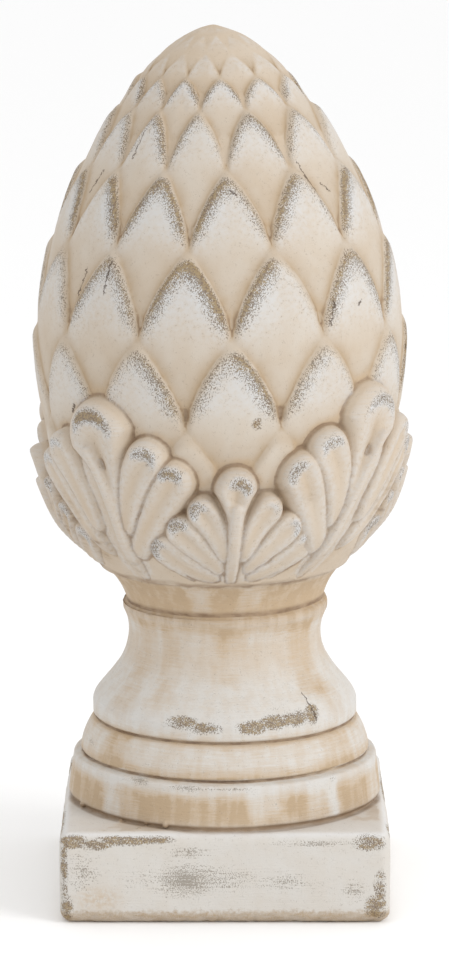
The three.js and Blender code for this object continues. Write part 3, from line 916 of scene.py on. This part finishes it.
    def mesh(self, name):
        """A closed mesh of all rings, with one point at each end."""
        rows, columns = self.radius.shape
        bottom = np.array([[0.0, 0.0, 0.0]])
        top = leaned(np.array([[0.0, 0.0, CONE_TOP_Z - 0.3]]))
        vertices = np.concatenate([bottom, self.points.reshape(-1, 3), top]) * MM
        index = 1 + np.arange(rows * columns).reshape(rows, columns)
        following = np.roll(index, -1, 1)
        quads = np.stack([index[:-1], following[:-1], following[1:], index[1:]], -1).reshape(-1, 4)
        start = np.stack([np.zeros(columns, int), following[0], index[0]], -1)
        end = np.stack([index[-1], following[-1], np.full(columns, rows * columns + 1)], -1)
        loops = np.concatenate([start.ravel(), quads.ravel(), end.ravel()])
        sizes = np.concatenate([np.full(columns, 3), np.full(len(quads), 4), np.full(columns, 3)])
        mesh = bpy.data.meshes.new(name)
        mesh.vertices.add(len(vertices))
        mesh.vertices.foreach_set("co", vertices.astype(np.float32).ravel())
        mesh.loops.add(len(loops))
        mesh.loops.foreach_set("vertex_index", loops.astype(np.int32))
        mesh.polygons.add(len(sizes))
        starts = np.concatenate([[0], np.cumsum(sizes)[:-1]])
        mesh.polygons.foreach_set("loop_start", starts.astype(np.int32))
        mesh.update(calc_edges=True)
        return mesh

    def store_masks(self, mesh):
        """Writes each mask to the mesh, read at the place of every point."""
        points = np.zeros(len(mesh.vertices) * 3, np.float32)
        mesh.vertices.foreach_get("co", points)
        points = points.reshape(-1, 3).astype(float) / MM
        straight = leaned(points, -CONE_LEAN)
        angle = np.arctan2(straight[:, 0], -straight[:, 1])
        column = (angle + math.pi) / (2 * math.pi) * self.columns
        levels = self.height[self.turned_from :].mean(1)
        levels = np.maximum.accumulate(levels + np.arange(len(levels)) * 1e-6)
        row = np.interp(straight[:, 2], levels, np.arange(len(levels)))
        first_row = np.clip(np.floor(row).astype(int), 0, len(levels) - 2)
        first_column = np.floor(column).astype(int)
        row_share = (row - first_row)[:, None]
        column_share = (column - first_column)[:, None]
        turned = straight[:, 2] > PLINTH_HEIGHT - 0.2
        for name, field in self.masks.items():
            pairs = []
            for step in (0, 1):
                left = field[first_row + step, first_column % self.columns][:, None]
                right = field[first_row + step, (first_column + 1) % self.columns][:, None]
                pairs.append((1 - column_share) * left + column_share * right)
            value = (1 - row_share) * pairs[0]
            value += row_share * pairs[1]
            value = np.where(turned, value[:, 0], 0.0)
            attribute = mesh.attributes.new(name, "FLOAT", "POINT")
            attribute.data.foreach_set("value", value.astype(np.float32))


class Shade:
    """A socket of a material that can stand in a Python expression."""

    def __init__(self, paint, socket):
        self.paint = paint
        self.socket = socket

    def _math(self, operation, *values, clamp=False):
        settings = {"operation": operation, "use_clamp": clamp}
        return self.paint.node("ShaderNodeMath", settings, values)

    def __add__(self, other):
        return self._math("ADD", self, other)

    __radd__ = __add__

    def __sub__(self, other):
        return self._math("SUBTRACT", self, other)

    def __rsub__(self, other):
        return self._math("SUBTRACT", other, self)

    def __mul__(self, other):
        return self._math("MULTIPLY", self, other)

    __rmul__ = __mul__

    def __truediv__(self, other):
        return self._math("DIVIDE", self, other)

    def __abs__(self):
        return self._math("ABSOLUTE", self)

    def clamped(self):
        return self._math("ADD", self, 0.0, clamp=True)

    def most(self, other):
        return self._math("MAXIMUM", self, other)

    def step(self, start, end):
        """A smooth step from 0 to 1 between two bounds."""
        settings = {"interpolation_type": "SMOOTHSTEP"}
        return self.paint.node("ShaderNodeMapRange", settings, {
            "Value": self, "From Min": start, "From Max": end, "To Min": 0.0, "To Max": 1.0})


class Paint:
    """A material built from expressions."""

    def __init__(self, name):
        self.material = bpy.data.materials.new(name)
        self.material.use_nodes = True
        self.tree = self.material.node_tree
        self.tree.nodes.clear()

    def node(self, kind, settings=None, values=None, output=0):
        """Adds a node, sets it up, feeds its sockets and returns one of its outputs."""
        made = self.tree.nodes.new(kind)
        for name, value in (settings or {}).items():
            setattr(made, name, value)
        if values is not None:
            pairs = values.items() if isinstance(values, dict) else enumerate(values)
            for key, value in pairs:
                self.feed(made.inputs[key], value)
        return Shade(self, made.outputs[output])

    def feed(self, socket, value):
        if isinstance(value, Shade):
            self.tree.links.new(value.socket, socket)
        else:
            socket.default_value = value

    def finished(self, values):
        """Gives the material one surface with these values, and returns the material."""
        shader = self.node("ShaderNodeBsdfPrincipled", None, values)
        out = self.tree.nodes.new("ShaderNodeOutputMaterial")
        self.tree.links.new(shader.socket, out.inputs["Surface"])
        return self.material

    def attribute(self, name):
        return self.node("ShaderNodeAttribute", {"attribute_name": name}, output="Fac")

    def mix(self, share, first, second):
        made = self.tree.nodes.new("ShaderNodeMix")
        made.data_type = "RGBA"
        self.feed(made.inputs[0], share)
        for socket, colour in ((made.inputs[6], first), (made.inputs[7], second)):
            self.feed(socket, colour if isinstance(colour, Shade) else (*colour, 1.0))
        return Shade(self, made.outputs[2])

    def vector(self, operation, first, second=None, output=0):
        values = {0: first}
        if second is not None:
            values[1] = second
        return self.node("ShaderNodeVectorMath", {"operation": operation}, values, output)

    def noise(self, place, stretch, detail=3.0, roughness=0.55, offset=0.0):
        """Noise from 0 to 1 whose cells have three sizes in millimetres."""
        scaled = self.vector("MULTIPLY", place, tuple(1.0 / (size * MM) for size in stretch))
        if offset:
            scaled = self.vector("ADD", scaled, (offset, offset * 0.7, offset * 1.3))
        return self.node("ShaderNodeTexNoise", {"noise_dimensions": "3D"}, {
            "Vector": scaled, "Scale": 1.0, "Detail": detail, "Roughness": roughness})

    def patch(self, place, centre, size):
        """A soft ellipsoid round a place in millimetres: 1 in its middle, 0 from its surface out."""
        moved = self.vector("SUBTRACT", place, tuple(c * MM for c in centre))
        scaled = self.vector("DIVIDE", moved, tuple(s * MM for s in size))
        reach = self.vector("LENGTH", scaled, output="Value")
        return (1.0 - reach).clamped()

    def line(self, chart, start, end, width):
        """A thin line between two places of a chart: 1 on it, 0 from its edges out."""
        base = (start[0] * CHART_SCALE, start[1], 0.0)
        run = ((end[0] - start[0]) * CHART_SCALE, end[1] - start[1], 0.0)
        gone = self.vector("SUBTRACT", chart, base)
        share = self.vector("DOT_PRODUCT", gone, run, output="Value") / (run[0] ** 2 + run[1] ** 2)
        nearest = self.node(
            "ShaderNodeVectorMath", {"operation": "SCALE"}, {0: run, "Scale": share.clamped()})
        away = self.vector("LENGTH", self.vector("SUBTRACT", gone, nearest), output="Value")
        return 1.0 - away.step(0.2 * width, 0.8 * width)

    def patches(self, place, spots):
        total = None
        for centre, size, strength in spots:
            spot = self.patch(place, centre, size) * strength
            total = spot if total is None else total.most(spot)
        return total


# Rubbed places of the plinth, the lip and one low scale: middle, half sizes and strength
RUBS = [
    ((-77.6, -84.3, 43.4), (11, 5, 4.2), 1.15),
    ((-66, -84.5, 42.0), (10, 5, 3.6), 1.05),
    ((-52, -84.2, 43.8), (18, 5, 3.0), 1.10),
    ((-37, -84.1, 44.4), (14, 5, 2.4), 0.85),
    ((-82.0, -84, 28), (2.6, 6, 26), 0.62),
    ((-80.5, -84, 8), (4, 6, 9), 0.70),
    ((73, -84.4, 43.2), (10, 6, 5.5), 0.75),
    ((79.0, -84.5, 19), (4, 6, 11), 0.70),
    ((77, -84.5, 9), (7, 6, 8), 0.70),
    ((-84, -50, 43), (5, 34, 4), 0.80),
    ((-84, 60, 42), (5, 20, 5), 1.00),
    ((84, -64, 43), (5, 16, 4), 0.80),
    ((84, 20, 43.5), (5, 38, 3), 0.90),
    ((82, 83, 40), (10, 10, 9), 0.95),
    ((30, 84, 43.4), (32, 5, 3.4), 1.00),
    ((-76, 84, 20), (6, 6, 20), 0.80),
    ((-22, -64, 100.6), (10, 8, 4.0), 0.80),
    ((-10, -68, 98.2), (10, 7, 3.6), 0.90),
    ((14, -67.6, 98.6), (10, 8, 4.2), 1.10),
    ((25.5, -63, 100.4), (11, 9, 4.4), 1.00),
    ((35.7, -57.2, 101.0), (10, 9, 4.8), 1.00),
    ((44.5, -50.3, 101.6), (5, 6, 6.5), 1.15),
    ((-30, 62, 99), (20, 12, 4.4), 0.90),
    ((62, 30, 99), (9, 20, 4.6), 0.80),
    ((16, -90.9, 260), (3.4, 6, 4.0), 0.55),
]
# Grey scuffs of the plinth, the drum, the ovolo and the neck
SCUFFS = [
    ((-20, -84.5, 23), (24, 8, 13), 0.85),
    ((-14, -84.5, 24), (52, 8, 11), 0.55),
    ((-18, -84.5, 37.7), (20, 7, 5), 0.50),
    ((30, -84.5, 22.5), (26, 7, 7), 0.42),
    ((45, -84.4, 42.6), (34, 6, 2.6), 0.60),
    ((66, -84.5, 18), (10, 7, 9), 0.50),
    ((-72, -84.5, 27), (12, 7, 16), 0.50),
    ((-43, -65.6, 70.0), (9, 9, 2.4), 0.75),
    ((-20, -77.0, 69.4), (16, 8, 2.2), 0.80),
    ((4, -79.4, 69.6), (16, 8, 1.8), 0.50),
    ((55, -57, 69.5), (3, 5, 3), 0.55),
    ((-69, -26, 80.5), (6, 12, 4), 0.45),
    ((28, -62, 106), (10, 8, 4), 0.40),
    ((-34, -68, 99.0), (14, 10, 4), 0.50),
    ((10, 85, 24), (40, 9, 12), 0.60),
    ((85, 15, 24), (9, 36, 10), 0.60),
    ((-85, -10, 28), (9, 30, 9), 0.55),
]
# Brown stains on the leaves
LEAF_STAINS = [
    ((-80, -30, 200), (16, 30, 26), 1.10),
    ((-66, -52, 186), (16, 20, 16), 1.10),
    ((-52, -66, 178), (16, 16, 9), 1.20),
    ((82, -30, 205), (14, 30, 28), 0.80),
    ((60, -58, 182), (16, 16, 12), 0.90),
    ((34, -78, 224), (16, 14, 10), 0.70),
    ((0, 88, 190), (60, 26, 20), 0.70),
    ((-84, 40, 196), (20, 30, 20), 0.80),
    ((84, 40, 196), (20, 30, 20), 0.80),
]
# Cracks and dark nicks: angle from the front and height of their ends, and their width,
# on a chart with this many millimetres to a degree
CHART_SCALE = 1.3
CRACKS = [
    ((34.9, 385.8), (37.7, 377.0), 0.6),
    ((37.7, 377.0), (40.4, 371.5), 0.7),
    ((40.4, 371.5), (40.2, 363.5), 0.5),
    ((-58.5, 380.0), (-62.8, 368.6), 0.6),
    ((-41.4, 401.0), (-43.6, 387.4), 0.7),
    ((-38.9, 338.0), (-40.2, 322.0), 0.6),
    ((-50.5, 333.1), (-52.8, 318.7), 0.6),
    ((44.4, 374.8), (49.4, 370.4), 0.6),
    ((37.4, 318.5), (35.2, 307.0), 0.8),
    ((1.9, 374.4), (3.8, 372.5), 0.9),
    ((47.5, 315.0), (49.0, 317.0), 0.9),
    ((-52.3, 264.5), (-53.0, 260.0), 1.0),
    ((86.9, 286.0), (87.4, 281.0), 1.0),
    ((41.0, 111.6), (42.6, 98.6), 0.7),
    ((140.0, 352.0), (143.0, 338.0), 0.6),
    ((-128.0, 318.0), (-126.0, 306.0), 0.6),
]


def casting_paint(paint):
    """The finial's finish: cream coat, tan wash, white dry brush and rubbed edges, with painted shade in the
    hollows, creases and crevices and under the scales' steps, and painted light on the plinth's top.
    """
    made = Paint("painted_casting")
    place = made.node("ShaderNodeTexCoord", output="Object")
    split = made.node("ShaderNodeSeparateXYZ", None, [place])
    x, y, z = (Shade(made, split.socket.node.outputs[name]) * 1000.0 for name in "XYZ")
    angle = made.node("ShaderNodeMath", {"operation": "ARCTAN2"}, [x, 0.0 - y]) * (CHART_SCALE / DEGREE)
    names = ("hollow", "crease", "wear", "brush", "painted_step_shade", "leaf", "stain", "seam")
    hollow, crease, wear, brush, painted_step_shade, leaf, stain, seam = (made.attribute(name) for name in names)

    cream = tuple(paint.cream)
    white = tuple(paint.white)
    coat = tuple(paint.coat)
    tan = tuple(paint.tan)
    umber = tuple(paint.umber)
    olive = tuple(paint.bare)
    grey = tuple(paint.grey)
    deep_tan = blended((0.8, tan))
    # Brown of the painted shade lines in crevices, grooves and under overhangs
    painted_shade_brown = blended((0.35, tan), (0.65, umber))
    on_cone = z.step(CONE_Z - 2.0, CONE_Z + 3.0)
    on_foot = (1.0 - on_cone) * z.step(PLINTH_HEIGHT - 2.0, PLINTH_HEIGHT + 2.0)
    on_plinth = 1.0 - z.step(PLINTH_HEIGHT - 1.5, PLINTH_HEIGHT + 0.5)

    cloud = made.noise(place, (42, 42, 55), 2.0)
    mottle = made.noise(place, (11, 11, 14), 4.0, offset=3.0)
    soft = mottle.step(0.32, 0.68)
    bristle = made.noise(place, (14, 14, 0.8), 4.0, 0.6, offset=7.0).step(0.32, 0.68)
    upright = made.noise(place, (5, 5, 46), 3.0, 0.5, offset=11.0).step(0.32, 0.68)
    speck = made.noise(place, (0.5, 0.5, 0.75), 1.0, 0.6, offset=17.0).step(0.34, 0.66)
    smear = made.noise(place, (9, 9, 3), 3.0, 0.6, offset=41.0).step(0.32, 0.68)
    fleck = made.noise(place, (2.4, 2.4, 2.2), 3.0, 0.6, offset=23.0).step(0.32, 0.68)
    tick = made.noise(place, (1.1, 1.1, 0.9), 2.0, 0.6, offset=31.0).step(0.35, 0.65)

    # Cone and leaves
    deeper = blended((0.72, cream), (0.28, tan))
    colour = made.mix(cloud.step(0.35, 0.7), cream, deeper)
    upper = z.step(380.0, 440.0)
    colour = made.mix((upper * 0.40 + leaf * 0.36).clamped(), colour, tan)
    colour = made.mix(soft * 0.18, colour, tan)
    # Painted shade in tan under each scale's step
    colour = made.mix((painted_step_shade * (0.72 + 0.3 * soft)).clamped(), colour, deep_tan)

    # Foot: white over tan, in soft blocks with the lines of the bristles
    between = stain * (1.0 - stain) * 4.0
    share = stain + (bristle - 0.5) * (0.10 + 0.30 * between) * (0.3 + 0.7 * smear)
    share = (share + (upright - 0.5) * 0.26 + (fleck - 0.5) * 0.08).clamped()
    washed = made.mix(share.step(0.75, 1.05) * 0.5, tan, deep_tan)
    colour = made.mix(on_foot, colour, made.mix(share, coat, washed))

    # Plinth: off-white over all with painted light on its top, tan along its foot and round the drum
    # Painted light: a paler colour mixed onto the plinth's top, as if lit from above
    pale = blended((1.10, white), (0.12, tan))
    tint = made.mix(z.step(44.0, 47.5) * 0.9, made.mix(soft * 0.35, coat, cream), pale)
    foot_line = (1.0 - (z + (fleck - 0.5) * 2.0).step(5.0, 8.2)) * (0.7 + 0.3 * speck)
    corner_tan = made.patch(place, (-64.6, -84.5, 13.0), (17, 9, 10)).step(0.0, 0.8) * fleck
    radial = made.vector("LENGTH", made.vector("MULTIPLY", place, (1.0, 1.0, 0.0)), output="Value")
    skirt = (1.0 - radial.step(0.0820, 0.0880)) * z.step(44.0, 47.0) * (0.2 + 0.4 * soft)
    tinted = (corner_tan * 0.6).most(skirt * 0.35).clamped()
    tinted = made.mix(foot_line * (0.7 + 0.3 * smear), made.mix(tinted, tint, tan), deep_tan)
    colour = made.mix(on_plinth, colour, tinted)

    # Tan wash with painted shade in the hollows, painted shade lines in the creases, crevices and grooves,
    # brown stains on the leaves, and painted shadow under the drum and the leaves
    deep = hollow.step(0.2, 2.0) * (1.0 - leaf - on_foot * 0.5) + hollow.step(0.4, 2.6) * leaf
    deep = deep + hollow.step(0.2, 1.0) * on_foot * 0.6
    wash_and_shade = (deep * (0.5 + 0.5 * soft)).clamped() * paint.wash_and_shade
    colour = made.mix(wash_and_shade * 0.8, colour, made.mix(leaf, tan, deep_tan))
    # Painted shade: dark umber lines in the creases and grooves, and at the corners under the scales' steps
    lines = crease.step(0.16, 0.9) * (1.0 - leaf * 0.75)
    lines = lines.most(crease.step(0.08, 0.40) * on_foot)
    dark = (lines * (0.5 + 0.5 * smear) + painted_step_shade.step(0.95, 1.3) * 0.5).clamped() * paint.wash_and_shade
    colour = made.mix(dark * 0.75, colour, umber)
    # Painted shade: thin dark lines in the crevices where the lobes meet
    joined = seam.step(0.25, 0.9) * (0.35 + 0.65 * soft) * paint.wash_and_shade
    colour = made.mix(joined * 0.85, colour, painted_shade_brown)
    stained_leaf = made.patches(place, LEAF_STAINS) * (1.0 - on_foot) * (0.5 + 0.7 * smear)
    colour = made.mix((stained_leaf * 1.3).clamped() * 0.8, colour, deep_tan)
    colour = made.mix((stained_leaf * smear.step(0.5, 1.0)).clamped() * 0.45, colour, umber)
    # Painted shadow: a dark line in the groove under the drum's foot
    seat = abs(z - (PLINTH_HEIGHT + 0.9))
    under_drum = (1.0 - seat.step(0.8, 2.6)) * (1.0 - radial.step(0.0822, 0.0845)) * (0.75 + 0.25 * smear)
    colour = made.mix(under_drum * 0.9, colour, painted_shade_brown)
    # Painted shadow: a broken dark line under the leaves' lower edge, where they overhang the collar
    ledge = abs(z - (LEAF_Z + 0.5) + (mottle - 0.5) * 6.0)
    colour = made.mix((1.0 - ledge.step(0.5, 2.6)) * (0.30 + 0.65 * soft) * 0.85, colour, painted_shade_brown)

    # White dry brush on what stands proud
    proud = (0.0 - hollow).step(0.3, 2.0)
    dry = (brush + (fleck - 0.5) * 0.3 * brush.step(0.0, 0.3)).clamped()
    dry = dry.most(proud * 0.30 * (0.5 + bristle))
    colour = made.mix((dry * on_cone).clamped() * 0.95, colour, white)
    colour = made.mix((proud * on_foot * (0.2 + bristle)).clamped() * 0.5, colour, white)

    # Rubbed through to the body: ragged patches, speckled edges and grey scuffs
    grain = speck * 0.85 + fleck * 0.15
    patch = made.patches(place, RUBS)
    rubs = (patch * 2.3 + (smear - 0.6) * patch.step(0.0, 0.35)).clamped() * (0.76 + 0.26 * fleck)
    density = (wear * paint.wear * (0.7 + 0.5 * fleck)).most(rubs)
    worn = (density - grain * 1.02).step(-0.10, 0.12)
    core = (density * 0.8 + smear * 0.5).step(0.45, 1.1)
    bare = made.mix(core, grey, olive)
    dirt = blended((0.7, umber), (0.15, grey))
    bare = made.mix(tick.step(0.35, 0.85) * 0.85, bare, dirt)
    colour = made.mix(worn * 0.85, colour, bare)
    scuff = made.patches(place, SCUFFS)
    streaked = (scuff * 1.2 - (bristle * 0.35 + speck * 0.65) * 1.05).step(-0.02, 0.20)
    colour = made.mix(streaked * 0.7, colour, grey)

    # Cracks, a little unsteady
    unsteady = (angle + (fleck - 0.5) * 1.3, z + (tick - 0.5), 0.0)
    waver = made.node("ShaderNodeCombineXYZ", None, unsteady)
    cracked = None
    for start, end, width in CRACKS:
        line = made.line(waver, start, end, width)
        cracked = line if cracked is None else cracked.most(line)
    colour = made.mix(cracked * 0.8, colour, blended((0.4, umber)))

    height = (
        cloud * 0.3
        + mottle * 0.3
        + bristle * (on_foot * 0.22 + on_plinth * 0.12 + 0.03)
        + speck * 0.06
        - worn * 0.35
        - cracked * 0.6
    )
    bump = made.node("ShaderNodeBump", None, {
        "Strength": 0.55, "Distance": 0.0006, "Height": height})
    return made.finished({
        "Base Color": colour,
        "Roughness": 0.72 + worn * 0.18 + (mottle - 0.5) * 0.12,
        "Specular IOR Level": 0.35,
        "Normal": bump,
    })


class FINIAL_OT_casting(bpy.types.Operator):
    """Builds the casting with its scales, leaves, mouldings and plinth, and paints it"""

    bl_idname = "finial.casting"
    bl_label = "Casting"

    def execute(self, context):
        form = context.scene.finial_form
        casting = Casting(form)
        mesh = casting.mesh("finial_casting")
        piece = bpy.data.objects.new("finial_casting", mesh)
        context.scene.collection.objects.link(piece)
        share = form.triangles / (2 * casting.radius.size)
        if share < 1.0:
            thinned = piece.modifiers.new("thin", "DECIMATE")
            thinned.ratio = share
            graph = context.evaluated_depsgraph_get()
            final = bpy.data.meshes.new_from_object(piece.evaluated_get(graph))
            piece.modifiers.clear()
            piece.data = final
            bpy.data.meshes.remove(mesh)
            final.name = "finial_casting"
        piece.data.shade_smooth()
        casting.store_masks(piece.data)
        piece.data.materials.append(casting_paint(context.scene.finial_paint))
        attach(piece, "root")
        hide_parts("pinecone_finial")
        return {"FINISHED"}


class FINIAL_OT_studio(bpy.types.Operator):
    """Adds the pale floor, the soft lights and the camera"""

    bl_idname = "finial.studio"
    bl_label = "Stage"

    def execute(self, context):
        studio = context.scene.finial_studio
        self.add_floor(context, studio)
        self.add_lights(context, studio)
        self.add_camera(context, studio)
        return {"FINISHED"}

    @staticmethod
    def add_floor(context, studio):
        reach = 12.0
        corners = [(-reach, -reach, 0.0), (reach, -reach, 0.0), (reach, reach, 0.0), (-reach, reach, 0.0)]
        mesh = bpy.data.meshes.new("studio_floor")
        mesh.from_pydata(corners, [], [(0, 1, 2, 3)])
        floor = bpy.data.objects.new("studio_floor", mesh)
        context.scene.collection.objects.link(floor)
        paper = Paint("floor_paper")
        mesh.materials.append(paper.finished({
            "Base Color": (*studio.floor, 1.0), "Roughness": 0.9, "Specular IOR Level": 0.1}))

    @staticmethod
    def add_lights(context, studio):
        world = bpy.data.worlds.new("studio_surround")
        context.scene.world = world
        world.use_nodes = True
        background = world.node_tree.nodes["Background"]
        background.inputs["Color"].default_value = (1.0, 1.0, 1.0, 1.0)
        background.inputs["Strength"].default_value = studio.surround
        context.scene.view_settings.view_transform = "Standard"
        for name, spot, size, share in (
            ("key", (1.55, -1.05, 1.15), 0.9, 1.0),
            ("fill", (-1.5, -1.0, 0.9), 1.4, 0.05),
        ):
            light = bpy.data.lights.new(name, "AREA")
            light.energy = studio.key * share
            light.size = size
            lamp = bpy.data.objects.new(name, light)
            lamp.location = spot
            aim = Vector((0.0, 0.0, LIGHT_AIM_HEIGHT)) - lamp.location
            lamp.rotation_euler = aim.to_track_quat("-Z", "Y").to_euler()
            context.scene.collection.objects.link(lamp)

    @staticmethod
    def add_camera(context, studio):
        lens = bpy.data.cameras.new("camera")
        lens.lens = studio.lens
        lens.shift_x = VIEW_SHIFT
        camera = bpy.data.objects.new("camera", lens)
        back = studio.distance * math.cos(studio.elevation)
        rise = studio.distance * math.sin(studio.elevation)
        camera.location = (0.0, -back, VIEW_AIM_HEIGHT + rise)
        camera.rotation_euler = (math.pi / 2 - studio.elevation, 0.0, 0.0)
        context.scene.collection.objects.link(camera)
        context.scene.camera = camera


class FINIAL_PT_panel(bpy.types.Panel):
    """Lists the casting's and the stage's values and their operators"""

    bl_idname = "FINIAL_PT_panel"
    bl_label = "Pinecone finial"
    bl_space_type = "VIEW_3D"
    bl_region_type = "UI"
    bl_category = "Finial"

    def draw(self, context):
        for name in ("finial_form", "finial_paint", "finial_studio"):
            group = getattr(context.scene, name)
            box = self.layout.box()
            for value in group.__annotations__:
                box.prop(group, value)
        for operator in OPERATORS:
            self.layout.operator(operator.bl_idname)


GROUPS = {"finial_form": FinialForm, "finial_paint": FinialPaint, "finial_studio": FinialStudio}
OPERATORS = (FINIAL_OT_casting, FINIAL_OT_studio)
CLASSES = (*GROUPS.values(), *OPERATORS, FINIAL_PT_panel)


def register():
    for item in CLASSES:
        bpy.utils.register_class(item)
    for name, group in GROUPS.items():
        setattr(bpy.types.Scene, name, PointerProperty(type=group))


def unregister():
    for name in GROUPS:
        delattr(bpy.types.Scene, name)
    for item in reversed(CLASSES):
        bpy.utils.unregister_class(item)


def main():
    register()
    bpy.ops.finial.studio()
    bpy.ops.finial.casting()


if __name__ == "__main__":
    main()
